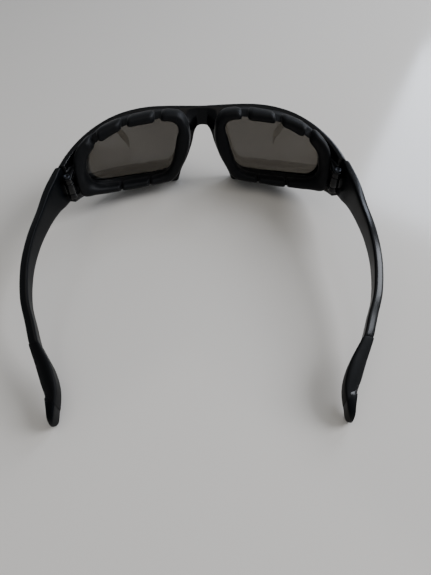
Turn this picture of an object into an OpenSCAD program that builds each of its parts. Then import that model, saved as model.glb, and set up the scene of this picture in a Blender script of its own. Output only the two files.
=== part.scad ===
// Foam-padded wrap-around sports goggles, standing on the nose-side rims and the temple tips.
// X runs across the face, Y from the brow back to the ears, Z up. Sizes are in millimetres.

/* [Front shell] */
// Forward lean of the front when it stands on its rims and tips
lean = 15; // [12:0.5:17]
// Half width of the straight middle of the brow
wrap_start = 21; // [19:0.5:23]
// Radius of the front face where it wraps round the eyes
wrap_r = 49.5; // [48:0.5:51]
// Wall thickness of the front shell
shell_t = 4; // [3.6:0.1:4.2]

/* [Lenses] */
// Thickness of each lens
lens_t = 2; // [1.6:0.1:2.2]
// Depth of the rim in front of the lens
lens_set = 1; // [0.8:0.1:1.2]
// Width of the rim groove that holds the lens edge
lens_lip = 1.1; // [0.8:0.1:1.4]

/* [Foam] */
// Radius of the face curve that the pads make
face_r = 98; // [92:1:104]
// Depth from the brow to the face curve at the nose
face_depth = 14; // [13:0.5:15]
// Height of the raised pads over the base ring
pad_t = 3.5; // [2.5:0.1:4]
// Width of the vent notches between the brow pads
notch_w = 3; // [2:0.1:3.5]
// Width of the fine grooves between the cheek pads
groove_w = 0.8; // [0.6:0.1:1.2]

/* [Hinges] */
// Distance of each hinge axis from the middle
hinge_x = 64.2; // [64:0.1:64.6]
// Place of the hinge axis along the head
hinge_y = -32; // [-32.4:0.1:-31.6]
// Radius of the hinge knuckles
knuckle_r = 2.3; // [2.2:0.1:2.4]
// Radius of the hinge screw
screw_r = 1; // [0.8:0.1:1.2]
// Running clearance round the screw
screw_gap = 0.05; // [0.02:0.01:0.08]
// Lowest point of the hinge
hinge_low = 18; // [17.5:0.1:18.5]
// Height of each outer knuckle, which the front carries
outer_knuckle_h = 3; // [2.5:0.1:3.2]
// Height of the middle knuckle, which the temple carries
mid_knuckle_h = 5.6; // [5:0.1:6]
// Gap above and below the middle knuckle
knuckle_gap = 0.1; // [0.1:0.05:0.3]

/* [Temples] */
// Gap between the front and the temple when open
split_gap = 0.2; // [0.1:0.05:0.4]
// Lean of the split between the front and the temple
split_lean = 8.4; // [6:0.2:10]
// Where the rubber ear sleeve starts
sleeve_start = 50; // [48:0.5:51]
// Where the rubber ear sleeve ends
sleeve_end = 72; // [70:0.5:73]
// Wall thickness of the rubber ear sleeve
sleeve_wall = 1; // [0.8:0.1:1.2]

/* [Hidden] */
$fn = 96;
// Where the middle of the brow stands
front_y = -68.2;
front_z = 1.1;
// A length past every part of the goggles
far = 120;
// Middle of the split between front and temple
split_y = -35;
split_z = 23.5;
// Height that parts the brow notches from the cheek grooves
eye_mid_z = 21;
// Joints between the pads: place across at the brow or cheek, lean from upright
notch_z = 34;
inner_notch = [21.8, 0];
middle_notch = [38.2, 0];
outer_notch = [52.6, 12];
inner_groove = [29.2, 0];
outer_groove = [44, 0];
no_joint_inner = [-100, 0];
no_joint_outer = [100, 0];
// How far the rim, the base ring and the pads stand back from the foam's outlines
rim_reveal = 1.5;
ring_reveal = 0.8;
pad_inset = 0.4;
// Depth that holds all of the foam
foam_end = 50;
hinge_top = hinge_low + 2 * outer_knuckle_h + mid_knuckle_h + 2 * knuckle_gap;
screw_head_r = 1.8;
screw_head_h = 1;
// Lug that ties each outer knuckle to the wall of the front
lug_w = 3.7;
lug_l = 12;
// Web that ties the middle knuckle to the temple
web_w = 4;
// A cut's run past the piece it cuts
past = 1;
// Stretch of the temple's outline kept at each end of its core
core_margin = 3;

// Outline of the eye opening in the foam, seen from the front
eye_points = [
    [18, 34.8], [26, 34.4], [34, 34], [41, 32.6], [46.5, 30.4], [52, 27.6],
    [56.2, 23.4], [58.1, 17.4], [58.1, 11.8], [55.4, 7.6], [47.5, 5.6], [38, 5],
    [29, 5.2], [21.6, 6.8], [17.6, 11], [14.8, 18.4], [13, 25.6], [11.8, 29.6],
    [13.2, 33.2]
];
// Outline of the foam, seen from the front
foam_points = [
    [14, 38.3], [22, 38.7], [30, 38.2], [42, 36.6], [51, 33.8], [56.5, 30.6],
    [60, 26.4], [61.2, 20], [61.2, 10], [59.8, 4.6], [53, 2.6], [45, 1.8],
    [38, 1.3], [30, 1.7], [23, 2], [17.5, 3.2], [14.2, 6.2], [12, 10.2],
    [9.6, 14.6], [7.7, 19.4], [6.8, 24.4], [7, 29.4], [8.2, 34], [10.4, 37]
];
// Edge of one half of the front: up the nose gap and out along the lower rim
rim_points = [
    [0, 29.4], [2.6, 28.8], [4.4, 26], [5.7, 21], [7.6, 15.6], [10.2, 10],
    [12.9, 5.2], [14.3, 1], [15.4, -1.4], [17.6, -1.9], [20, -1.5], [24, -0.6],
    [31, 0.2], [40, 0.4], [50, 1.1], [60, 2], [72, 3.2]
];
// Brow edge of one half of the front, from the side back to the middle
brow_points = [[72, 45], [34, 45], [26, 39.4], [12, 38.8], [0, 38.5]];
// Fall of the brow line from the front to the hinge, seen from the side
brow_fall = [[-5, 39.4], [0, 39.4], [6.4, 37.2], [14.2, 33.6], [25.4, 28.5], [39, 22.8], [60, 14]];
// Outer and inner faces of the temple in plan: place across, place along
temple_outer = [
    [68.7, -38], [71.2, -30], [72.9, -21], [73.8, -10], [74.9, 4], [74.9, 18], [73, 31.6],
    [69.6, 41.6], [66.6, 50], [62.4, 59], [58.8, 67.6], [57, 73.6], [56.4, 78.4]
];
temple_inner = [
    [54.2, 78.4], [53.4, 73.6], [53.6, 67.6], [57.2, 59], [62.4, 50], [65.6, 41.6], [69.2, 31.6],
    [71.2, 18], [71.3, 4], [70.2, -10], [69, -21], [67.6, -28], [67, -33], [65.2, -38]
];
// Upper and lower edges of the temple from the side: place along, height
temple_top = [
    [-38, 33.4], [-22, 31.6], [-10, 30], [4, 28.7], [18, 26.2], [32, 22.2], [42, 19], [50, 16.9],
    [60, 14.6], [68, 12.2], [74, 9.6], [78.4, 6.4]
];
temple_low = [
    [78.4, 0.6], [76.5, 0], [73, 2], [68, 4.8], [60, 6.4], [50, 9.6], [42, 12.8], [32, 15.6],
    [18, 18.2], [4, 19.4], [-10, 18.8], [-22, 16.6], [-32, 14.2], [-38, 13.7]
];
// How far the ear sleeve swells past the temple on its inner side
sleeve_swell = 0.8;

function curve_at(a, b, c, d, t) =
    (2 * b + (c - a) * t + (2 * a - 5 * b + 4 * c - d) * t * t + (3 * b - a - 3 * c + d) * t * t * t) / 2;
// A smooth open curve through points
function smooth(p, steps = 4) = [
    for (i = [0:len(p) - 2], k = [0:steps - 1])
        curve_at(p[max(i - 1, 0)], p[i], p[i + 1], p[min(i + 2, len(p) - 1)], k / steps),
    p[len(p) - 1]
];
// A smooth closed outline through points
function smooth_ring(p, steps = 4) = [
    for (i = [0:len(p) - 1], k = [0:steps - 1])
        curve_at(p[(i + len(p) - 1) % len(p)], p[i], p[(i + 1) % len(p)], p[(i + 2) % len(p)], k / steps)
];
function turned(v) = [-v[1], v[0]] / norm(v);
// A clockwise closed outline with every point moved outwards
function grown(p, by) = [
    for (i = [0:len(p) - 1])
        p[i] + by * turned(p[(i + 1) % len(p)] - p[(i + len(p) - 1) % len(p)])
];

// The front's own frame, leant forward onto the surface
module leant() {
    translate([0, front_y, front_z])
        rotate([lean, 0, 0]) children();
}

// A shape drawn as seen from the front, run from front to back
module front_view() {
    translate([0, far, 0])
        rotate([90, 0, 0]) linear_extrude(2 * far) children();
}

// A shape drawn as seen from the right side (place along, height), run across
module side_view() {
    translate([-far, 0, 0])
        rotate([90, 0, 90]) linear_extrude(2 * far) children();
}

// A shape drawn in plan, run from below to above
module plan_view() {
    translate([0, 0, -far]) linear_extrude(2 * far) children();
}

// Everything behind the front face, moved in by a depth
module behind_front(depth) {
    for (side = [-1, 1])
        translate([side * wrap_start, wrap_r]) circle(wrap_r - depth);
    translate([-wrap_start, depth]) square([2 * wrap_start, 2 * (wrap_r - depth)]);
}

// Everything behind the face curve, moved forward by a depth
module behind_face(depth) {
    translate([0, face_depth + face_r - depth]) circle(face_r, $fn = 240);
}

// A layer of the front between two depths
module front_layer(near, deep) {
    plan_view() intersection() {
        difference() {
            behind_front(near);
            behind_front(deep);
        }
        translate([-far, -1]) square([2 * far, wrap_r - 1]);
    }
}

// The space in front of the split, or behind it
module split_side(front, gap) {
    translate([0, split_y, split_z]) rotate([split_lean, 0, 0])
        translate([-far, front ? -far : gap, -far]) cube([2 * far, far, 2 * far]);
}

module eye_outline(by) {
    polygon(grown(smooth_ring(eye_points), by));
}

module half_front_outline() {
    polygon(concat(smooth(rim_points), brow_points));
}

module lens_solid(side) {
    intersection() {
        front_layer(lens_set, lens_set + lens_t);
        front_view() on_side(side) eye_outline(rim_reveal + lens_lip);
    }
}

// A shape drawn for the wearer's left side, kept there (1) or mirrored to the right (-1)
module on_side(side) {
    if (side > 0) children();
    else mirror([1, 0, 0]) children();
}

module outer_knuckle(side, low) {
    inner_x = hinge_x - knuckle_r;
    on_side(side) {
        translate([hinge_x, hinge_y, low]) cylinder(r = knuckle_r, h = outer_knuckle_h);
        translate([inner_x, hinge_y - lug_l, low]) cube([lug_w, lug_l, outer_knuckle_h]);
    }
}

module screw_hole(side) {
    translate([side * hinge_x, hinge_y, hinge_low - past])
        cylinder(r = screw_r + screw_gap, h = hinge_top - hinge_low + 2 * past);
}

// One-piece front: brow, bridge, both rims and the outer hinge knuckles
module front_frame() {
    color("#17181a") difference() {
        union() {
            intersection() {
                leant() difference() {
                    intersection() {
                        front_layer(0, shell_t);
                        front_view() union() {
                            half_front_outline();
                            mirror([1, 0]) half_front_outline();
                        }
                        side_view() polygon(concat(smooth(brow_fall), [[60, -10], [-5, -10]]));
                    }
                    for (side = [-1, 1]) {
                        front_view() on_side(side) eye_outline(rim_reveal);
                        lens_solid(side);
                    }
                }
                split_side(true, 0);
                translate([-far, -far, 0]) cube([2 * far, 2 * far, far]);
            }
            for (side = [-1, 1], low = [hinge_low, hinge_top - outer_knuckle_h])
                outer_knuckle(side, low);
        }
        for (side = [-1, 1]) screw_hole(side);
    }
}

module lens(side) {
    color("#3d3a34", 0.6) leant() lens_solid(side);
}

// Foam base ring glued into the back of the rim
module gasket_ring(side) {
    color("#121314") leant() intersection() {
        plan_view() difference() {
            behind_front(shell_t);
            behind_face(pad_t);
        }
        front_view() on_side(side) difference() {
            polygon(smooth_ring(foam_points));
            eye_outline(ring_reveal);
        }
        foam_space();
    }
}

module foam_space() {
    translate([-far, 0, -far]) cube([2 * far, foam_end, 2 * far]);
}

function joint_x(joint, z) = joint[0] + (z - notch_z) * tan(joint[1]);

// The front view between two pad joints, over a span of heights
module between(inner, outer, low, high) {
    polygon([
        [joint_x(inner, low), low], [joint_x(inner, high), high],
        [joint_x(outer, high), high], [joint_x(outer, low), low]
    ]);
}

module brow_part(inner, outer) {
    between(inner, outer, eye_mid_z, far);
}

module cheek_part(inner, outer) {
    between(inner, outer, -far, eye_mid_z);
}

module joint_slot(joint, width, low, high) {
    between([joint[0] - width / 2, joint[1]], [joint[0] + width / 2, joint[1]], low, high);
}

// One raised pad of the gasket: the foam that its children's outline covers
module face_pad(side) {
    color("#18191b") leant() intersection() {
        plan_view() difference() {
            behind_face(pad_t);
            behind_face(0);
        }
        front_view() on_side(side) difference() {
            intersection() {
                polygon(grown(smooth_ring(foam_points), -pad_inset));
                children();
            }
            eye_outline(0);
            for (joint = [inner_notch, middle_notch, outer_notch])
                joint_slot(joint, notch_w, eye_mid_z, far);
            for (joint = [inner_groove, outer_groove])
                joint_slot(joint, groove_w, -far, eye_mid_z);
        }
        foam_space();
    }
}

// Nose side of the eye, from the inner brow notch down to the inner cheek groove
module nose_pad(side) {
    face_pad(side) {
        union() {
            brow_part(no_joint_inner, inner_notch);
            cheek_part(no_joint_inner, inner_groove);
        }
    }
}

module inner_brow_pad(side) {
    face_pad(side) brow_part(inner_notch, middle_notch);
}

module outer_brow_pad(side) {
    face_pad(side) brow_part(middle_notch, outer_notch);
}

// Temple side of the eye, from the outer brow notch down to the outer cheek groove
module temple_pad(side) {
    face_pad(side) {
        union() {
            brow_part(outer_notch, no_joint_outer);
            cheek_part(outer_groove, no_joint_outer);
        }
    }
}

module cheek_pad(side) {
    face_pad(side) cheek_part(inner_groove, outer_groove);
}

// One temple between its faces and edges
module temple_blank(side) {
    intersection() {
        plan_view() on_side(side) polygon(concat(smooth(temple_outer), smooth(temple_inner)));
        side_view() polygon(concat(smooth(temple_top), smooth(temple_low)));
    }
}

function under_sleeve(y) = y > sleeve_start - core_margin && y < sleeve_end + core_margin;

// The temple's core inside the rubber sleeve, a wall thinner all round
module temple_core(side) {
    outer = [for (p = smooth(temple_outer)) if (under_sleeve(p[1])) [p[0] - sleeve_wall, p[1]]];
    inner = [for (p = smooth(temple_inner)) if (under_sleeve(p[1])) [p[0] + sleeve_wall, p[1]]];
    top = [for (p = smooth(temple_top)) if (under_sleeve(p[0])) [p[0], p[1] - sleeve_wall]];
    low = [for (p = smooth(temple_low)) if (under_sleeve(p[0])) [p[0], p[1] + sleeve_wall]];
    intersection() {
        plan_view() on_side(side) polygon(concat(outer, inner));
        side_view() polygon(concat(top, low));
        sleeve_space();
    }
}

// The slice of space that the ear sleeve covers
module sleeve_space() {
    translate([-far, sleeve_start, -far]) cube([2 * far, sleeve_end - sleeve_start, 2 * far]);
}

// Temple arm with its hinge knuckle, its core through the sleeve and its hard tip
module temple(side) {
    mid_low = hinge_low + outer_knuckle_h + knuckle_gap;
    color("#15171b") difference() {
        union() {
            intersection() {
                difference() {
                    temple_blank(side);
                    sleeve_space();
                }
                split_side(false, split_gap);
            }
            temple_core(side);
            on_side(side) {
                translate([hinge_x, hinge_y, mid_low]) cylinder(r = knuckle_r, h = mid_knuckle_h);
                translate([hinge_x, hinge_y - knuckle_r, mid_low])
                    cube([web_w, 2 * knuckle_r, mid_knuckle_h]);
            }
        }
        screw_hole(side);
    }
}

// Rubber ear sleeve over the temple's core
module ear_sleeve(side) {
    swell = [for (p = smooth(temple_inner)) [p[0] - sleeve_swell * swell_at(p[1]), p[1]]];
    color("#101011") difference() {
        intersection() {
            plan_view() on_side(side) polygon(concat(smooth(temple_outer), swell));
            side_view() polygon(concat(smooth(temple_top), smooth(temple_low)));
            sleeve_space();
        }
        temple_core(side);
    }
}

// Share of the sleeve's swell at a place along the temple
function swell_at(y) = let (t = (y - sleeve_start) / (sleeve_end - sleeve_start))
    t <= 0 || t >= 1 ? 0 : sin(180 * t);

module hinge_screw(side) {
    color("#8b8d90") translate([side * hinge_x, hinge_y, 0]) {
        translate([0, 0, hinge_low]) cylinder(r = screw_r, h = hinge_top - hinge_low);
        translate([0, 0, hinge_top]) cylinder(r = screw_head_r, h = screw_head_h);
    }
}

front_frame();
lens(1);  // lens_left
lens(-1);  // lens_right
gasket_ring(1);  // gasket_ring_left
gasket_ring(-1);  // gasket_ring_right
nose_pad(1);  // nose_pad_left
nose_pad(-1);  // nose_pad_right
inner_brow_pad(1);  // inner_brow_pad_left
inner_brow_pad(-1);  // inner_brow_pad_right
outer_brow_pad(1);  // outer_brow_pad_left
outer_brow_pad(-1);  // outer_brow_pad_right
temple_pad(1);  // temple_pad_left
temple_pad(-1);  // temple_pad_right
cheek_pad(1);  // cheek_pad_left
cheek_pad(-1);  // cheek_pad_right
temple(1);  // temple_left
temple(-1);  // temple_right
ear_sleeve(1);  // ear_sleeve_left
ear_sleeve(-1);  // ear_sleeve_right
hinge_screw(1);  // hinge_screw_left
hinge_screw(-1);  // hinge_screw_right
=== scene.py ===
import math

import bmesh
import bpy
import numpy as np
from mathutils import Matrix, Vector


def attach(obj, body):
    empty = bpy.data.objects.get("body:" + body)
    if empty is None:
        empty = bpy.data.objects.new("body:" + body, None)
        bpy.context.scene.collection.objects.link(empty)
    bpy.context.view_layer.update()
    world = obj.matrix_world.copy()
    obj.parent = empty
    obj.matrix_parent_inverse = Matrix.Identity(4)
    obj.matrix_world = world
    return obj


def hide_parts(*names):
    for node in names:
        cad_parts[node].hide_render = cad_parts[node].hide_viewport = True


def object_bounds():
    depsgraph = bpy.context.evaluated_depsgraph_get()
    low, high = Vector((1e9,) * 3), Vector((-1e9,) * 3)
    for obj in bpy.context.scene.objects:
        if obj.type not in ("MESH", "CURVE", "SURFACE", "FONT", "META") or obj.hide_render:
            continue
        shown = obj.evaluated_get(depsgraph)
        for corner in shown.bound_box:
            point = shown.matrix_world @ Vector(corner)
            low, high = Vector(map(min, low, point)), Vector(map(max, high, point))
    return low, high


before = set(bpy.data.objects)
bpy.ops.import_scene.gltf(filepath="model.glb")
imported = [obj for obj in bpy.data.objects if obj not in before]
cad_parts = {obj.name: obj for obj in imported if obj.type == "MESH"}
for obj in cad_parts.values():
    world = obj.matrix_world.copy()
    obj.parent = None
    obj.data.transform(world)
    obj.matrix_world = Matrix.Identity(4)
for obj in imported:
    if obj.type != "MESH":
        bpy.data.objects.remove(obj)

cad_low, cad_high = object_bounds()

# ---- Table, light and camera -------------------------------------------------------------
# A pale satin table top in a room that is lighter on its window side, two window lights on
# that side and a soft light overhead.
# The camera looks down over the temples from behind the wearer's side of the goggles.


def linear(hex_colour):
    """An sRGB hex colour as linear red, green, blue and alpha."""
    parts = [int(hex_colour[i:i + 2], 16) / 255 for i in (1, 3, 5)]
    return [c / 12.92 if c <= 0.04045 else ((c + 0.055) / 1.055) ** 2.4 for c in parts] + [1.0]


def add_node(tree, kind, sockets=None, **settings):
    """Adds a node, sets its settings, and fills its inputs with values or links."""
    made = tree.nodes.new(kind)
    for key, value in settings.items():
        setattr(made, key, value)
    for key, value in (sockets or {}).items():
        if isinstance(value, bpy.types.NodeSocket):
            tree.links.new(value, made.inputs[key])
        else:
            made.inputs[key].default_value = value
    return made


def new_material(name):
    """An empty node material, with its node tree, shader and object coordinates."""
    material = bpy.data.materials.new(name)
    material.use_nodes = True
    tree = material.node_tree
    tree.nodes.clear()
    shader = add_node(tree, "ShaderNodeBsdfPrincipled")
    add_node(tree, "ShaderNodeOutputMaterial", {"Surface": shader.outputs["BSDF"]})
    place = add_node(tree, "ShaderNodeTexCoord").outputs["Object"]
    return material, tree, shader, place


def set_shader(shader, **values):
    """Sets uniform values on the shader's own sockets, with underscores for spaces."""
    for key, value in values.items():
        shader.inputs[key.replace("_", " ")].default_value = value


def varied(tree, place, size, low, high, detail=3.0):
    """A number that drifts between low and high over patches of a size in metres."""
    noise = add_node(tree, "ShaderNodeTexNoise", {"Vector": place, "Scale": 1 / size, "Detail": detail})
    return add_node(tree, "ShaderNodeMapRange", {
        "Value": noise.outputs["Fac"], "From Min": 0.3, "From Max": 0.7, "To Min": low, "To Max": high,
    }).outputs["Result"]


# Laminate table top: a warm pale grey with a soft sheen
laminate, tree, shader, place = new_material("satin_laminate")
set_shader(shader, Base_Color=linear("#E7E2DA"), IOR=1.65)
tree.links.new(varied(tree, place, 0.09, 0.13, 0.18), shader.inputs["Roughness"])

floor_half = 1.6
floor_mesh = bpy.data.meshes.new("table_top")
floor_mesh.from_pydata(
    [(x * floor_half, y * floor_half, cad_low.z) for x, y in ((-1, -1), (1, -1), (1, 1), (-1, 1))],
    [], [(0, 1, 2, 3)],
)
floor_mesh.materials.append(laminate)
floor = bpy.data.objects.new("table_top", floor_mesh)
bpy.context.scene.collection.objects.link(floor)

world = bpy.data.worlds.new("room")
world.use_nodes = True
sky = world.node_tree.nodes["Background"]
sky.inputs["Color"].default_value = linear("#DDE2E8")
facing = add_node(world.node_tree, "ShaderNodeTexCoord").outputs["Generated"]
apart = add_node(world.node_tree, "ShaderNodeSeparateXYZ", {"Vector": facing})
window_side = add_node(world.node_tree, "ShaderNodeMapRange", {
    "Value": apart.outputs["X"], "From Min": -1.0, "From Max": 1.0, "To Min": 0.58, "To Max": 0.2,
})
world.node_tree.links.new(window_side.outputs["Result"], sky.inputs["Strength"])
bpy.context.scene.world = world


def soft_light(name, place, size, watts, colour):
    """A square area light that faces the middle of the goggles."""
    light = bpy.data.lights.new(name, "AREA")
    light.size = size
    light.energy = watts
    light.color = linear(colour)[:3]
    lamp = bpy.data.objects.new(name, light)
    lamp.location = place
    aim = (cad_low + cad_high) / 2 - lamp.location
    lamp.rotation_euler = aim.to_track_quat("-Z", "Y").to_euler()
    bpy.context.scene.collection.objects.link(lamp)


soft_light("window", (-0.86, -0.14, 0.60), 0.5, 8.6, "#F2F6FF")
soft_light("far_window", (-0.60, -0.75, 0.50), 0.4, 3.2, "#E6EFFF")
soft_light("ceiling", (0.1, 0.1, 0.95), 0.9, 1.5, "#FFF7EC")

camera_place = (-0.00937, 0.1334, 0.160)
camera_pitch = math.radians(53)
camera_roll = math.radians(2.49)
camera_turn = math.radians(1.72)
flat = np.array([math.sin(camera_turn), -math.cos(camera_turn), 0.0])
level = np.array([-math.cos(camera_turn), -math.sin(camera_turn), 0.0])
forward = flat * math.cos(camera_pitch) - np.array([0, 0, math.sin(camera_pitch)])
upward = flat * math.sin(camera_pitch) + np.array([0, 0, math.cos(camera_pitch)])
right = math.cos(camera_roll) * level - math.sin(camera_roll) * upward
above = math.sin(camera_roll) * level + math.cos(camera_roll) * upward
camera = bpy.data.objects.new("camera", bpy.data.cameras.new("camera"))
camera.data.sensor_width = 36
camera.data.lens = 26.92
camera.data.clip_start = 0.005
camera.matrix_world = Matrix([
    [right[i], above[i], -forward[i], camera_place[i]] for i in range(3)
] + [[0, 0, 0, 1]])
bpy.context.scene.collection.objects.link(camera)
bpy.context.scene.camera = camera

# ---- Front --------------------------------------------------------------------------------
# One injection moulding in gloss black: brow, bridge, both rims and the outer hinge knuckles.
# It leans forward on its nose-side rims, and its top front edge has a flat bevel.

MM = 0.001
lean = math.radians(15)
front_y = -68.2
front_z = 1.1
wrap_start = 21.0
wrap_r = 49.5
shell_t = 4.0
voxel = 0.42 * MM
bevel_w = 1.9
bevel_end = 40.0
bridge_facet = 5.0
facet_in = 2.6
facet_in_run = 5.4
facet_out = 13.0
facet_out_run = 1.5
facet_low = 23.0
facet_low_run = 5.0
facet_high = 38.6
facet_high_run = 8.0
facet_skin = 1.2
facet_skin_run = 2.6
brow_points = [[72, 45], [34, 45], [26, 39.4], [12, 38.8], [0, 38.5]]
brow_fall = [[-5, 39.4], [0, 39.4], [6.4, 37.2], [14.2, 33.6], [25.4, 28.5], [39, 22.8], [60, 14]]


def smooth_line(points, closed=False, steps=12):
    """Catmull-Rom curve through points: a cubic between each pair, matching slopes."""
    p = np.asarray(points, float)
    n = len(p)
    i = np.arange(n if closed else n - 1)
    if closed:
        around = [p[i - 1], p[i], p[(i + 1) % n], p[(i + 2) % n]]
    else:
        around = [p[np.maximum(i - 1, 0)], p[i], p[i + 1], p[np.minimum(i + 2, n - 1)]]
    a, b, c, d = (q[:, None, :] for q in around)
    t = (np.arange(steps) / steps)[None, :, None]
    line = (2 * b + (c - a) * t + (2 * a - 5 * b + 4 * c - d) * t ** 2
            + (3 * b - a - 3 * c + d) * t ** 3) / 2
    line = line.reshape(-1, 2)
    return line if closed else np.vstack([line, p[-1]])


def stood(across, deep, up):
    """Points of the front's own frame, in mm, leant forward into the row frame in metres."""
    y = front_y + deep * math.cos(lean) - up * math.sin(lean)
    z = front_z + deep * math.sin(lean) + up * math.cos(lean)
    return np.stack([across + 0 * y, y, z], -1) * MM


def unstood(points):
    """The reverse of stood: row frame metres to the front's own frame in mm."""
    across, y, z = (points / MM).T
    y, z = y - front_y, z - front_z
    return across, y * math.cos(lean) + z * math.sin(lean), z * math.cos(lean) - y * math.sin(lean)


def finished_mesh(obj):
    """The mesh of an object with its modifiers applied."""
    bpy.context.view_layer.update()
    seen = obj.evaluated_get(bpy.context.evaluated_depsgraph_get())
    return bpy.data.meshes.new_from_object(seen)


def place_piece(name, mesh, material, body, slot, *nodes):
    """Links a piece at the origin, gives it its finish and body, and lets it stand for CAD nodes."""
    mesh.name = name
    mesh.materials.clear()
    mesh.materials.append(material)
    mesh.polygons.foreach_set("use_smooth", [True] * len(mesh.polygons))
    piece = bpy.data.objects.new(name, mesh)
    bpy.context.scene.collection.objects.link(piece)
    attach(piece, body)
    if nodes:
        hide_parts(*nodes)
    return piece


def points_of(mesh):
    """Places of a mesh's points, in metres."""
    co = np.empty(len(mesh.vertices) * 3, np.float32)
    mesh.vertices.foreach_get("co", co)
    return co.reshape(-1, 3).astype(float)


def ramp(value, run):
    """0 below zero, then a straight rise to 1 over a run, then 1."""
    return np.clip(value / run, 0, 1)


# Injection-moulded polycarbonate: deep gloss black with a faint orange peel and handling haze
moulded_black, tree, shader, place = new_material("moulded_polycarbonate")
set_shader(shader, Base_Color=linear("#050506"), IOR=1.585, Specular_IOR_Level=0.18)
tree.links.new(varied(tree, place, 11 * MM, 0.15, 0.27), shader.inputs["Roughness"])
peel = add_node(tree, "ShaderNodeTexNoise", {"Vector": place, "Scale": 1 / (0.7 * MM), "Detail": 1.0})
dimpled = add_node(tree, "ShaderNodeBump", {"Height": peel.outputs["Fac"], "Distance": 0.006 * MM})
tree.links.new(dimpled.outputs["Normal"], shader.inputs["Normal"])

rough_copy = bpy.data.objects.new("front_copy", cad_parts["front_frame"].data.copy())
bpy.context.scene.collection.objects.link(rough_copy)
merged = bmesh.new()
merged.from_mesh(rough_copy.data)
bmesh.ops.remove_doubles(merged, verts=merged.verts, dist=0.002 * MM)
merged.to_mesh(rough_copy.data)
merged.free()
skin = rough_copy.modifiers.new("even_skin", "REMESH")
skin.mode = "VOXEL"
skin.voxel_size = voxel
soften = rough_copy.modifiers.new("soft_edges", "SMOOTH")
soften.factor = 0.5
soften.iterations = 6
front_mesh = finished_mesh(rough_copy)
bpy.data.objects.remove(rough_copy)

# Top front bevel: where depth behind the front plus drop below the brow is under the bevel's
# width, both grow by half of what is missing, which lays the edge back at 45 degrees
across, deep, up = unstood(points_of(front_mesh))
side = np.sign(across)
run = np.maximum(np.abs(across) - wrap_start, 0)
reach = np.hypot(run, wrap_r - deep)
behind = wrap_r - reach
fall = smooth_line(brow_fall)
brow = np.array(brow_points[::-1], float)
brow_top = np.interp(np.abs(across), brow[:, 0], brow[:, 1])
top = np.minimum(brow_top, np.interp(deep, fall[:, 0], fall[:, 1]))
short = np.clip(bevel_w - behind - (top - up), 0, bevel_w) / 2
short = np.where(deep < bevel_end, short, 0)
shrink = (reach - short) / reach
across = np.where(run > 0, side * (wrap_start + run * shrink), across)
deep = wrap_r - (wrap_r - deep) * shrink
up = up - short
# Facets on the back of the bridge, which thickens towards each eye and downwards from the brow
off_middle = np.abs(across)
rise = ramp(off_middle - facet_in, facet_in_run) * ramp(up - facet_low, facet_low_run)
rise = rise * ramp(facet_out - off_middle, facet_out_run) * ramp(facet_high - up, facet_high_run)
rise = rise * ramp(behind - facet_skin, facet_skin_run) * (behind < shell_t + 1)
deep = deep + bridge_facet * rise
front_mesh.vertices.foreach_set("co", stood(across, deep, up).astype(np.float32).ravel())
place_piece("front_shell", front_mesh, moulded_black, "front", "frame_plastic", "front_frame")

# ---- Lenses -------------------------------------------------------------------------------
# Two smoke polycarbonate lenses, moulded to the curve of the front and snapped into its rims.
# They are dark, clear and brownish.

eye_middle = np.array([36.0, 19.5])
lens_set = 1.0
lens_t = 2.0
lens_grow = 2.6
lens_rings = 26
lens_pole = 0.03
eye_points = [
    [18, 34.8], [26, 34.4], [34, 34], [41, 32.6], [46.5, 30.4], [52, 27.6],
    [56.2, 23.4], [58.1, 17.4], [58.1, 11.8], [55.4, 7.6], [47.5, 5.6], [38, 5],
    [29, 5.2], [21.6, 6.8], [17.6, 11], [14.8, 18.4], [13, 25.6], [11.8, 29.6],
    [13.2, 33.2],
]
eye_line = smooth_line(eye_points, closed=True)


def grown(line, by):
    """A clockwise closed outline with every point moved outwards, square to its neighbours."""
    along = np.roll(line, -1, 0) - np.roll(line, 1, 0)
    along /= np.linalg.norm(along, axis=1, keepdims=True)
    return line + by * np.stack([-along[:, 1], along[:, 0]], -1)


def front_depth(across, depth):
    """Depth of a layer of the front: level at the middle, then an arc round each side."""
    run = np.maximum(np.abs(across) - wrap_start, 0)
    return wrap_r - np.sqrt(np.maximum((wrap_r - depth) ** 2 - run ** 2, 1))


def grid_mesh(name, points, round_u=False, capped=False):
    """A mesh from a grid of points [u, v]. v always closes on itself. u closes on itself too,
    or each end is capped by a fan to the middle of its ring. Faces are turned to point outwards."""
    nu, nv = points.shape[:2]
    corners = points.reshape(-1, 3)
    i = np.arange(nu if round_u else nu - 1)[:, None]
    j = np.arange(nv)[None, :]
    here, there = i * nv, ((i + 1) % nu) * nv
    quads = np.stack([here + j, here + (j + 1) % nv, there + (j + 1) % nv, there + j], -1).reshape(-1, 4)
    faces = quads.tolist()
    if capped:
        ring = np.arange(nv)
        first, last = len(corners), len(corners) + 1
        corners = np.vstack([corners, points[0].mean(0), points[-1].mean(0)])
        end = (nu - 1) * nv
        faces += np.stack([ring * 0 + first, (ring + 1) % nv, ring], -1).tolist()
        faces += np.stack([ring * 0 + last, end + ring, end + (ring + 1) % nv], -1).tolist()
    a, b, c, d = (corners[quads[:, k]] for k in range(4))
    volume = np.einsum("ij,ij->i", a, np.cross(b, c)).sum() + np.einsum("ij,ij->i", a, np.cross(c, d)).sum()
    if volume < 0:
        faces = [face[::-1] for face in faces]
    mesh = bpy.data.meshes.new(name)
    mesh.from_pydata(corners.tolist(), [], faces)
    return mesh


# Smoke polycarbonate: clear, glossy and dark, with a brown-grey tint
smoke, tree, shader, place = new_material("smoke_polycarbonate")
set_shader(shader, Base_Color=linear("#514D47"), IOR=1.585, Transmission_Weight=1.0)
set_shader(shader, Specular_IOR_Level=0.2)
tree.links.new(varied(tree, place, 9 * MM, 0.015, 0.05), shader.inputs["Roughness"])

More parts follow.
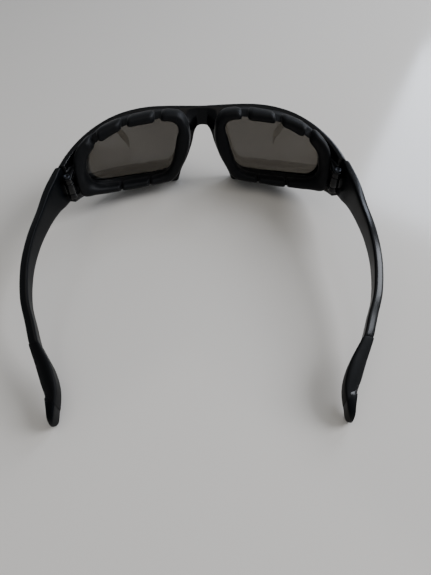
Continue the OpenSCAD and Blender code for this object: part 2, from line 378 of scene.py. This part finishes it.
lens_outline = grown(eye_line, lens_grow)
share = np.sin(np.linspace(lens_pole, 1, lens_rings) * math.pi / 2)[:, None, None]
rows = eye_middle + share * (lens_outline - eye_middle)
lens_rows = np.concatenate([rows, rows[::-1]])
lens_depth = np.repeat([lens_set, lens_set + lens_t], len(rows))[:, None]
for name, side in (("left", 1), ("right", -1)):
    lens_points = stood(lens_rows[..., 0], front_depth(lens_rows[..., 0], lens_depth), lens_rows[..., 1])
    lens_points[..., 0] *= side
    lens_mesh = grid_mesh("lens", lens_points, capped=True)
    place_piece(f"smoke_lens_{name}", lens_mesh, smoke, "front", "smoke_lens", f"lens_{name}")

# ---- Foam gaskets -------------------------------------------------------------------------
# Closed-cell foam: a base ring glued round each eye, and raised blocks with rounded ends.
# Open notches between the brow blocks let air through, and the cheek joints are nearly shut.

face_r = 98.0
face_depth = 14.0
pad_t = 3.5
ring_reveal = 0.8
pad_crown = 2.3
pad_end_crowding = 0.035
notch_half = 1.5
groove_half = 0.4
brow_low = 12.0
brow_high = 31.0
# How far the foam sinks into the shell's back, its least height, and how unevenly it is moulded
foam_sunk = 0.3
foam_least = 0.7
foam_give = 0.07
give_rate = 0.9
give_drift = 0.37
# The base ring: its corners, the slope of its floor under the brow, and its outer edge. It is
# drawn deeper than the shell is, so that the shell's back decides where it ends.
ring_corner = 7.0
floor_lift = 1.0
floor_fall = 4.4
ring_deep = 60.0
ring_spread = 0.3
ring_brow_in = 1.0
# The raised blocks: their end domes, their edges, and how far their base lies in front of the
# face curve, at the opening and at the outside
dome_least = 0.8
dome_per_gap = 1.1
end_narrow = 0.55
end_square = 0.25
end_low = 0.35
end_lift = 0.3
pad_in = 0.25
pad_out = 0.15
pad_brow_out = 0.5
pad_temple_out = 1.2
temple_from = 56.0
temple_run = 5.0
temple_under = 30.0
temple_under_run = 8.0
crown_fall = 0.4
cheek_base = (8.5, 4.5)
brow_base = (4.0, 11.0)
foam_points = [
    [14, 38.3], [22, 38.7], [30, 38.2], [42, 36.6], [51, 33.8], [56.5, 30.6],
    [60, 26.4], [61.2, 20], [61.2, 10], [59.8, 4.6], [53, 2.6], [45, 1.8],
    [38, 1.3], [30, 1.7], [23, 2], [17.5, 3.2], [14.2, 6.2], [12, 10.2],
    [9.6, 14.6], [7.7, 19.4], [6.8, 24.4], [7, 29.4], [8.2, 34], [10.4, 37],
]
foam_line = smooth_line(foam_points, closed=True)
# Stations round the eye, each a point on the opening and the point across the foam from it
stations = {
    "inner_notch": ([21.8, 34.6], [21.8, 38.7]),
    "middle_notch": ([38.2, 33.2], [38.2, 37.2]),
    "outer_notch": ([51.3, 28], [52.6, 33.2]),
    "temple_side": ([58.2, 15], [61.3, 16]),
    "lower_corner": ([56.9, 9], [60.2, 5.4]),
    "outer_groove": ([44, 5.3], [44, 1.7]),
    "inner_groove": ([29.2, 5.2], [29.2, 1.7]),
    "nose_foot": ([18, 10.4], [13.8, 6.8]),
    "nose_side": ([14.8, 18.4], [7.9, 19]),
    "nose_top": ([12.2, 31.6], [8, 33.5]),
}


def lengths(line):
    """Distance along a closed line to each of its points, and all the way round."""
    steps = np.linalg.norm(np.roll(line, -1, 0) - line, axis=1)
    return np.concatenate([[0], np.cumsum(steps)])


def nearest(line, point):
    """Distance along a closed line to the point of it nearest to a given one."""
    return lengths(line)[np.argmin(np.linalg.norm(line - point, axis=1))]


def along_line(line, distance):
    """Points at distances along a closed line."""
    far = lengths(line)
    closed = np.vstack([line, line[:1]])
    at = np.mod(distance, far[-1])
    return np.stack([np.interp(at, far, closed[:, k]) for k in range(2)], -1)


def unrolled(values, whole):
    """Distances that grow all the way round, from ones that start again part-way."""
    out = [values[0]]
    for value in values[1:]:
        out.append(value + whole if value < out[0] else value)
    return np.array(out + [values[0] + whole])


opening_at = unrolled([nearest(eye_line, p) for p, q in stations.values()], lengths(eye_line)[-1])
outside_at = unrolled([nearest(foam_line, q) for p, q in stations.values()], lengths(foam_line)[-1])
round_at = (opening_at + outside_at) / 2
station_at = dict(zip(stations, round_at))
whole_round = round_at[-1] - round_at[0]


def across_foam(w):
    """The two points that lie across the foam from each other, at distances round the eye."""
    w = round_at[0] + np.mod(w - round_at[0], whole_round)
    return (along_line(eye_line, np.interp(w, round_at, opening_at)),
            along_line(foam_line, np.interp(w, round_at, outside_at)))


def face_at(across, depth):
    """Depth of the face curve, an arc of radius face_r, moved forward by a depth."""
    return face_depth + face_r - depth - np.sqrt(face_r ** 2 - across ** 2)


def cushion_section(count, power):
    """A superellipse from 0 to 1 both ways: a square with well rounded corners."""
    t = np.linspace(0, 2 * math.pi, count, endpoint=False)
    wide = np.sign(np.cos(t)) * np.abs(np.cos(t)) ** (2 / power)
    tall = np.sign(np.sin(t)) * np.abs(np.sin(t)) ** (2 / power)
    return 0.5 + 0.5 * wide, 0.5 + 0.5 * tall


def foam_grid(w, inner_shift, outer_shift, wide, tall, top_drop, base_drop):
    """Carries a section round the eye: wide runs from the opening to the outside, and tall from
    the base to the top, as shares from 0 to 1. top_drop and base_drop are how far the top and
    the base lie in front of the face curve, each a pair: at the opening and at the outside. The
    height wavers by the product of two sines."""
    opening, outside = across_foam(w)
    out = outside - opening
    out /= np.linalg.norm(out, axis=1, keepdims=True)
    opening = opening + inner_shift * out
    outside = outside + outer_shift * out
    spot = opening[:, None] * (1 - wide[..., None]) + outside[:, None] * wide[..., None]
    across = spot[..., 0]
    top = face_at(across, top_drop[0][:, None] * (1 - wide) + top_drop[1][:, None] * wide)
    base = face_at(across, base_drop[0][:, None] * (1 - wide) + base_drop[1][:, None] * wide)
    base = np.maximum(base, front_depth(across, shell_t) - foam_sunk)
    top = np.maximum(top, base + foam_least)
    give = foam_give * np.sin(w[:, None] * give_rate + 3 * wide) * np.sin(w[:, None] * give_drift + 1)
    return stood(across, base + (top - base + give) * tall, spot[..., 1])


def eased(value, low, high):
    """Runs from 0 at low to 1 at high with level ends."""
    t = ramp(value - low, high - low)
    return t * t * (3 - 2 * t)


def brow_share(w):
    """1 along the brow, 0 along the cheek, from the height of the foam's outside."""
    return eased(across_foam(w)[1][:, 1], brow_low, brow_high)


# Closed-cell foam with a moulded skin: matt black, with fine cells and soft hollows. The faint blue cast
# of its black is painted sheen. The cells are drawn coarser than real ones, so that they show.
foam, tree, shader, place = new_material("closed_cell_foam")
# Painted sheen: the base colour's slight blue stands in for the sheen the foam shows under the light
set_shader(shader, Base_Color=linear("#0A0B0D"), IOR=1.45, Specular_IOR_Level=0.17)
set_shader(shader, Sheen_Weight=0.05, Sheen_Roughness=0.35)
tree.links.new(varied(tree, place, 5 * MM, 0.40, 0.55), shader.inputs["Roughness"])
cells = add_node(tree, "ShaderNodeTexVoronoi", {"Vector": place, "Scale": 1 / (0.45 * MM)})
hollows = add_node(tree, "ShaderNodeTexNoise", {"Vector": place, "Scale": 1 / (2.4 * MM), "Detail": 2.0})
both = add_node(tree, "ShaderNodeMath", {0: cells.outputs["Distance"], 1: hollows.outputs["Fac"]},
                operation="ADD")
dimpled = add_node(tree, "ShaderNodeBump", {"Height": both.outputs["Value"], "Distance": 0.05 * MM})
tree.links.new(dimpled.outputs["Normal"], shader.inputs["Normal"])

ring_w = np.linspace(round_at[0], round_at[-1], 320, endpoint=False)
ring_wide, ring_tall = cushion_section(40, ring_corner)
ring_wide = np.tile(ring_wide, (len(ring_w), 1))
ring_tall = np.tile(ring_tall, (len(ring_w), 1))
ring_brow = brow_share(ring_w)
ring_floor = (pad_t - floor_lift * ring_brow, pad_t + floor_fall * ring_brow)
ring_base = (ring_deep + 0 * ring_w, ring_deep + 0 * ring_w)
ring_outer = ring_spread - ring_brow_in * ring_brow[:, None]
ring_points = foam_grid(ring_w, ring_reveal, ring_outer, ring_wide, ring_tall, ring_floor, ring_base)

pads = [
    ("nose_pad", "inner_groove", "inner_notch", groove_half, notch_half),
    ("inner_brow_pad", "inner_notch", "middle_notch", notch_half, notch_half),
    ("outer_brow_pad", "middle_notch", "outer_notch", notch_half, notch_half),
    ("temple_pad", "outer_notch", "outer_groove", notch_half, groove_half),
    ("cheek_pad", "outer_groove", "inner_groove", groove_half, groove_half),
]


def pad_grid(start, end, start_gap, end_gap):
    """One raised block: a crowned section carried round the eye, drawn in to a dome at each
    end, where its width and height follow a quarter circle down to the pole. The dome is longer
    at a wide gap, so the cheek joints stay nearly square."""
    first = station_at[start] + start_gap
    last = station_at[end] + (whole_round if station_at[end] <= station_at[start] else 0) - end_gap
    span = last - first
    t = np.linspace(0, 1, int(span * 4) + 24)
    w = first + span * (t - pad_end_crowding * np.sin(2 * math.pi * t))
    brow = brow_share(w)
    start_dome, end_dome = (dome_least + dome_per_gap * gap for gap in (start_gap, end_gap))
    q = np.clip(np.minimum((w - first) / start_dome, (last - w) / end_dome), 0, 1)
    size = np.clip(np.sqrt(1 - (1 - q) ** 2), 0.04, 1)
    end_width = end_narrow + end_square * (1 - brow)
    narrow = end_width + (1 - end_width) * size
    wide, tall = cushion_section(48, pad_crown)
    wide = 0.5 + (wide - 0.5)[None] * (narrow * np.minimum(1, size * 4))[:, None]
    tall = tall[None] * (end_low + (1 - end_low) * size)[:, None] + end_lift * (1 - size)[:, None]
    outside = across_foam(w)[1]
    temple = ramp(outside[:, 0] - temple_from, temple_run)
    temple = temple * ramp(temple_under - outside[:, 1], temple_under_run)
    top = (0 * w, crown_fall * brow)
    base = tuple(cheek + (above_eye - cheek) * brow for cheek, above_eye in zip(cheek_base, brow_base))
    spread = pad_out + (pad_brow_out * brow + pad_temple_out * temple)[:, None]
    return foam_grid(w, -pad_in, spread, wide, tall, top, base)


for name, side in (("left", 1), ("right", -1)):
    ring_mesh = grid_mesh("ring", ring_points * [side, 1, 1], round_u=True)
    ring = place_piece(f"foam_ring_{name}", ring_mesh, foam, "front", "foam", f"gasket_ring_{name}")
    for pad, start, end, start_gap, end_gap in pads:
        pad_mesh = grid_mesh(pad, pad_grid(start, end, start_gap, end_gap) * [side, 1, 1], capped=True)
        block = place_piece(f"foam_{pad}_{name}", pad_mesh, foam, "front", "foam", f"{pad}_{name}")

# ---- Temples ------------------------------------------------------------------------------
# Moulded nylon arms, flat and satin on the head side and crowned and glossy outside.
# Each carries the middle hinge knuckle, and runs on through its sleeve to a hard tip.

split_y = -35.0
split_z = 23.5
split_gap = 0.2
split_lean = math.radians(8.4)
top_slope = 0.02
top_crown = 0.085
top_soft = 0.16
crown_start = -32.0
crown_full = -8.0
root_run = 14.0
tip_power = 2.6
root_draw = 0.09
core_draw = 0.8
sleeve_start = 50.0
sleeve_end = 72.0
sleeve_wall = 1.0
temple_outer = [
    [68.7, -38], [71.2, -30], [72.9, -21], [73.8, -10], [74.9, 4], [74.9, 18], [73, 31.6],
    [69.6, 41.6], [66.6, 50], [62.4, 59], [58.8, 67.6], [57, 73.6], [56.4, 78.4],
]
temple_inner = [
    [54.2, 78.4], [53.4, 73.6], [53.6, 67.6], [57.2, 59], [62.4, 50], [65.6, 41.6], [69.2, 31.6],
    [71.2, 18], [71.3, 4], [70.2, -10], [69, -21], [67.6, -28], [67, -33], [65.2, -38],
]
temple_top = [
    [-38, 33.4], [-22, 31.6], [-10, 30], [4, 28.7], [18, 26.2], [32, 22.2], [42, 19], [50, 16.9],
    [60, 14.6], [68, 12.2], [74, 9.6], [78.4, 6.4],
]
temple_low = [
    [78.4, 0.6], [76.5, 0], [73, 2], [68, 4.8], [60, 6.4], [50, 9.6], [42, 12.8], [32, 15.6],
    [18, 18.2], [4, 19.4], [-10, 18.8], [-22, 16.6], [-32, 14.2], [-38, 13.7],
]


def edge_at(points, place, swap):
    """Value of an edge line at places along the temple. swap is for lines given as (value, place)."""
    line = smooth_line(points)
    line = line[:, ::-1] if swap else line
    line = line[np.argsort(line[:, 0])]
    return np.interp(place, line[:, 0], line[:, 1])


def arm_section(y, count=96, inner_power=6.5, outer_power=4.2):
    """Section angle and its place across and up, as shares from -1 to 1. The power of the
    superellipse runs from crowned on the outside to flat on the head side."""
    t = np.linspace(0, 2 * math.pi, count, endpoint=False)
    power = outer_power + (inner_power - outer_power) * (0.5 - 0.5 * np.cos(t))
    wide = np.sign(np.cos(t)) * np.abs(np.cos(t)) ** (2 / power)
    tall = np.sign(np.sin(t)) * np.abs(np.sin(t)) ** (2 / power)
    return np.tile(wide, (len(y), 1)), np.tile(tall, (len(y), 1))


def arm_grid(y, shrink, size, inner_swell):
    """Sections along the temple between its four edges. shrink draws every side in by mm,
    size scales a section about its middle, and inner_swell moves the head side inwards. The top
    is a crown that falls away outwards as a parabola, blended in by a smooth minimum."""
    outer = edge_at(temple_outer, y, True) - shrink
    inner = edge_at(temple_inner, y, True) + shrink - inner_swell
    top = edge_at(temple_top, y, False) - shrink
    low = edge_at(temple_low, y, False) + shrink
    wide, tall = arm_section(y)
    x = ((outer + inner) / 2)[:, None] + ((outer - inner) / 2 * size)[:, None] * wide
    z = ((top + low) / 2)[:, None] + ((top - low) / 2 * size)[:, None] * tall
    facet = top[:, None] * size[:, None] + ((1 - size) * (top + low) / 2)[:, None]
    out = np.maximum(x - (inner + inner_swell)[:, None], 0)
    facet = facet - eased(y, crown_start, crown_full)[:, None] * (top_slope * out + top_crown * out ** 2)
    z = (z + facet - np.sqrt((z - facet) ** 2 + top_soft ** 2)) / 2
    root = 1 - eased(y, split_y, split_y + root_run)[:, None]
    place_y = y[:, None] - (z - split_z) * math.tan(split_lean) * root
    return np.stack([x, place_y, z], -1) * MM


# Moulded nylon: gloss outside with a cool cast, and satin on the head side, where its black is painted a
# shade lighter and bluer as painted sheen. Its grain is drawn coarser than a real mould's, so that it shows.
nylon, tree, shader, place = new_material("moulded_nylon")
set_shader(shader, IOR=1.53)
inner_face = add_node(tree, "ShaderNodeAttribute", attribute_name="head_side").outputs["Fac"]
# Painted sheen: the head side's black is a shade lighter and bluer than the outside's; its satin finish is
# the nylon's own
tone = add_node(tree, "ShaderNodeMix", {"Factor": inner_face}, data_type="RGBA")
tone.inputs["A"].default_value = linear("#050607")
tone.inputs["B"].default_value = linear("#06080B")
tree.links.new(tone.outputs["Result"], shader.inputs["Base Color"])
sheen = add_node(tree, "ShaderNodeMapRange", {"Value": inner_face, "To Min": 0.24, "To Max": 0.06})
tree.links.new(sheen.outputs["Result"], shader.inputs["Specular IOR Level"])
haze = varied(tree, place, 9 * MM, -0.03, 0.05)
satin = add_node(tree, "ShaderNodeMath", {0: inner_face, 1: 0.14, 2: 0.19}, operation="MULTIPLY_ADD")
rough = add_node(tree, "ShaderNodeMath", {0: satin.outputs["Value"], 1: haze}, operation="ADD")
tree.links.new(rough.outputs["Value"], shader.inputs["Roughness"])
grain = add_node(tree, "ShaderNodeTexNoise", {"Vector": place, "Scale": 1 / (0.4 * MM), "Detail": 2.0})
dimpled = add_node(tree, "ShaderNodeBump", {"Height": grain.outputs["Fac"], "Distance": 0.008 * MM})
tree.links.new(dimpled.outputs["Normal"], shader.inputs["Normal"])

tip_y = 78.4
tip_round = 3.2
root_y = split_y + split_gap
arm_y = np.concatenate([
    root_y + np.array([0, 0.12, 0.3, 0.55, 0.9]),
    np.linspace(root_y + 1.6, sleeve_start - 0.6, 110),
    np.linspace(sleeve_start, sleeve_end, 24),
    np.linspace(sleeve_end + 0.5, tip_y - tip_round, 8),
    tip_y - tip_round * (1 - np.sin(np.linspace(0.12, 1, 12) * math.pi / 2)),
])
at_tip = ramp(arm_y - tip_y + tip_round, tip_round)
at_root = ramp(arm_y - root_y, 0.9)
arm_size = np.clip(np.sqrt(1 - at_tip ** tip_power), 0.05, 1) * (1 - root_draw * (1 - at_root) ** 2)
under = eased(arm_y, sleeve_start - 0.2, sleeve_start + 0.8)
under = under * (1 - eased(arm_y, sleeve_end - 2.8, sleeve_end - 1.8))
arm_points = arm_grid(arm_y, under * sleeve_wall * core_draw, arm_size, 0 * arm_y)
arm_wide, _ = arm_section(arm_y)
# The hard tip takes most of the head side's satin finish, and with it its painted sheen
tip_satin = 0.8 * eased(arm_y, sleeve_end - 2, sleeve_end)[:, None]
head_side = np.maximum(eased(-arm_wide, 0.55, 0.9), tip_satin)

hinge_x = 64.2
hinge_y = -32.0
hinge_low = 18.0
outer_knuckle_h = 3.0
mid_knuckle_h = 5.6
knuckle_gap = 0.1
knuckle_r = 2.3
bore_r = 1.05
web_from = 1.4
web_to = 4.0
web_gap = 0.02
mid_low = hinge_low + outer_knuckle_h + knuckle_gap


def turned_piece(profile, place, count=48):
    """A profile of (radius, height) in mm, turned about an upright axis at a place in mm."""
    turn = np.linspace(0, 2 * math.pi, count, endpoint=False)
    r, h = np.array(profile, float).T
    x = place[0] + r[:, None] * np.cos(turn)
    y = place[1] + r[:, None] * np.sin(turn)
    return np.stack([x, y, h[:, None] + 0 * x], -1) * MM


def rounded_block(low, high, power=8.0, steps=14):
    """A block between two corners in mm, with soft edges along X, capped at both ends."""
    low, high = np.array(low, float), np.array(high, float)
    x = np.linspace(low[0], high[0], steps)
    wide, tall = cushion_section(40, power)
    y = low[1] + wide * (high[1] - low[1])
    z = low[2] + tall * (high[2] - low[2])
    return np.stack(np.broadcast_arrays(x[:, None], y[None], z[None]), -1) * MM


edge = 0.3
mid_top = mid_low + mid_knuckle_h
barrel = [
    (bore_r, mid_low + edge), (bore_r + edge, mid_low), (knuckle_r - edge, mid_low),
    (knuckle_r - 0.3 * edge, mid_low + 0.3 * edge), (knuckle_r, mid_low + edge),
    (knuckle_r, mid_top - edge), (knuckle_r - 0.3 * edge, mid_top - 0.3 * edge),
    (knuckle_r - edge, mid_top), (bore_r + edge, mid_top), (bore_r, mid_top - edge),
]
barrel_points = turned_piece(barrel, (hinge_x, hinge_y))
web_low = (hinge_x + web_from, hinge_y - knuckle_r, mid_low + web_gap)
web_high = (hinge_x + web_to, hinge_y + knuckle_r, mid_top - web_gap)
web_points = rounded_block(web_low, web_high)


def with_side(mesh, values):
    """Stores how far each point faces the wearer's head, for the finish to read."""
    stored = mesh.attributes.new("head_side", "FLOAT", "POINT")
    all_values = np.zeros(len(mesh.vertices), np.float32)
    all_values[:values.size] = values.ravel()
    stored.data.foreach_set("value", all_values)
    return mesh


for name, side in (("left", 1), ("right", -1)):
    flip = [side, 1, 1]
    body = f"{name}_arm"
    arm_mesh = with_side(grid_mesh("arm", arm_points * flip, capped=True), head_side)
    place_piece(f"temple_arm_{name}", arm_mesh, nylon, body, "temple_plastic", f"temple_{name}")
    barrel_mesh = grid_mesh("barrel", barrel_points * flip, round_u=True)
    place_piece(f"temple_knuckle_{name}", with_side(barrel_mesh, np.zeros(1)), nylon, body, "temple_plastic")
    web_mesh = grid_mesh("web", web_points * flip, capped=True)
    place_piece(f"temple_web_{name}", with_side(web_mesh, np.zeros(1)), nylon, body, "temple_plastic")

# ---- Ear sleeves --------------------------------------------------------------------------
# Soft rubber sleeves pushed over the temples' cores. Each starts in a small step, swells on
# the head side, and ends in a curved edge against the hard tip.

sleeve_proud = 0.26
end_flush = 0.12
sleeve_swell = 0.8
flush_from = 61.0
flush_to = 71.0
end_curve = 1.6
end_run = 8.0
end_lead = 0.35
end_lag = 0.65
lining_draw = 0.75
edge_steps = np.array([0, 0.06, 0.2, 0.42])

# Moulded rubber: matt near-black with a fine spark-eroded grain, drawn coarser so that it shows
rubber, tree, shader, place = new_material("moulded_rubber")
set_shader(shader, Base_Color=linear("#08090B"), IOR=1.5, Specular_IOR_Level=0.12)
tree.links.new(varied(tree, place, 6 * MM, 0.46, 0.6), shader.inputs["Roughness"])
erosion = add_node(tree, "ShaderNodeTexNoise", {"Vector": place, "Scale": 1 / (0.28 * MM), "Detail": 3.0})
dimpled = add_node(tree, "ShaderNodeBump", {"Height": erosion.outputs["Fac"], "Distance": 0.02 * MM})
tree.links.new(dimpled.outputs["Normal"], shader.inputs["Normal"])

outside_y = np.concatenate([
    sleeve_start + edge_steps,
    np.linspace(sleeve_start + 0.8, sleeve_end - 0.8, 52),
    sleeve_end - edge_steps[::-1],
])
edge_round = ramp(np.minimum(outside_y - sleeve_start, sleeve_end - outside_y), edge_steps[-1])
proud = sleeve_proud - end_flush * eased(outside_y, flush_from, flush_to)
proud = proud * np.sqrt(np.clip(1 - (1 - edge_round) ** 2, 0, 1))
along = (outside_y - sleeve_start) / (sleeve_end - sleeve_start)
swell = sleeve_swell * np.sin(math.pi * along)
outside_grid = arm_grid(outside_y, -proud, 1 + 0 * outside_y, swell)
lining_in = sleeve_wall * lining_draw + 0 * outside_y
inside_grid = arm_grid(outside_y[::-1], lining_in, 1 + 0 * outside_y, 0 * swell)
sleeve_points = np.concatenate([outside_grid, inside_grid])
end_wide, _ = arm_section(np.concatenate([outside_y, outside_y[::-1]]))
near_end = eased(sleeve_points[..., 1] / MM, sleeve_end - end_run, sleeve_end)
sleeve_points[..., 1] += near_end * end_curve * MM * (end_lead - end_lag * (1 + end_wide))

for name, side in (("left", 1), ("right", -1)):
    sleeve_mesh = grid_mesh("sleeve", sleeve_points * [side, 1, 1], round_u=True)
    body = f"{name}_arm"
    node = f"ear_sleeve_{name}"
    place_piece(f"rubber_sleeve_{name}", sleeve_mesh, rubber, body, "sleeve_rubber", node)

# ---- Hinge screws -------------------------------------------------------------------------
# A small turned steel screw, blackened, stands upright through each set of knuckles, with a
# low round head and a round drive recess.

screw_r = 1.0
head_r = 1.8
head_h = 1.0
recess_r = 0.75
hinge_top = hinge_low + 2 * outer_knuckle_h + mid_knuckle_h + 2 * knuckle_gap

# Turned steel with a black oxide finish: dark, with a soft metal glint
steel, tree, shader, place = new_material("blackened_steel")
set_shader(shader, Base_Color=linear("#303236"), Metallic=1.0)
tree.links.new(varied(tree, place, 0.6 * MM, 0.24, 0.38), shader.inputs["Roughness"])

screw_profile = [
    (0.05, hinge_low), (screw_r - 0.15, hinge_low), (screw_r, hinge_low + 0.15), (screw_r, hinge_top),
    (head_r - 0.1, hinge_top), (head_r, hinge_top + 0.1), (head_r, hinge_top + 0.5 * head_h),
    (head_r - 0.12, hinge_top + 0.8 * head_h), (head_r - 0.4, hinge_top + head_h),
    (recess_r + 0.1, hinge_top + head_h), (recess_r, hinge_top + 0.92 * head_h),
    (recess_r - 0.05, hinge_top + 0.45 * head_h),
    (0.05, hinge_top + 0.4 * head_h),
]
screw_points = turned_piece(screw_profile, (hinge_x, hinge_y))
for name, side in (("left", 1), ("right", -1)):
    screw_mesh = grid_mesh("screw", screw_points * [side, 1, 1], capped=True)
    place_piece(f"screw_{name}", screw_mesh, steel, "front", "screw_steel", f"hinge_screw_{name}")
